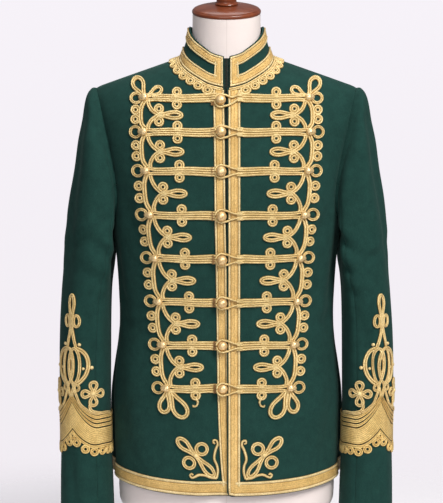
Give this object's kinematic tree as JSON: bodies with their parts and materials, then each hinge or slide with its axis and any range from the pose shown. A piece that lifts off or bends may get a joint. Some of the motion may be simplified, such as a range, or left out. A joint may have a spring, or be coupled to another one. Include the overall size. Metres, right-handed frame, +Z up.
{
  "type": "military jacket on a limbless dress form",
  "caption": "Fitted hussar-style wool jacket with stand collar, gold braid frogs, round buttons and pointed braid cuffs, worn by a limbless dress form on a short stand.",
  "frame": {"origin": "middle of the underside of the stand's base", "axes": "+Z up, -Y towards the jacket's front, +X towards the wearer's left"},
  "size_m": [0.5466, 0.32, 0.9874],
  "materials": {
    "wool": "felted melton with a soft nap",
    "gold_braid": "woven metallic braid, dull gold",
    "gilt_button": "polished gilt",
    "zip_tape": "woven tape",
    "linen": "plain cream linen, stretched",
    "varnished_wood": "gloss varnish",
    "stand_metal": "satin"
  },
  "bodies": {
    "root": {"back_left": "wool", "back_right": "wool", "base": "varnished_wood", "button_1": "gilt_button", "button_2": "gilt_button", "button_3": "gilt_button", "button_4": "gilt_button", "button_5": "gilt_button", "button_6": "gilt_button", "button_7": "gilt_button", "button_8": "gilt_button", "collar": "wool", "collar_trim_left": "gold_braid", "collar_trim_right": "gold_braid", "corner_motif_left": "gold_braid", "corner_motif_right": "gold_braid", "cuff_band_left": "gold_braid", "cuff_band_right": "gold_braid", "cuff_motif_left": "gold_braid", "cuff_motif_right": "gold_braid", "finial": "varnished_wood", "form_torso": "linen", "frog_left_1": "gold_braid", "frog_left_2": "gold_braid", "frog_left_3": "gold_braid", "frog_left_4": "gold_braid", "frog_left_5": "gold_braid", "frog_left_6": "gold_braid", "frog_left_7": "gold_braid", "frog_left_8": "gold_braid", "frog_right_1": "gold_braid", "frog_right_2": "gold_braid", "frog_right_3": "gold_braid", "frog_right_4": "gold_braid", "frog_right_5": "gold_braid", "frog_right_6": "gold_braid", "frog_right_7": "gold_braid", "frog_right_8": "gold_braid", "front_left": "wool", "front_right": "wool", "front_trim_left": "gold_braid", "front_trim_right": "gold_braid", "neck_cap": "varnished_wood", "neck_trim_left": "gold_braid", "neck_trim_right": "gold_braid", "pole": "stand_metal", "sleeve_left_top": "wool", "sleeve_left_under": "wool", "sleeve_right_top": "wool", "sleeve_right_under": "wool", "zip": "zip_tape"}
  },
  "joints": []
}
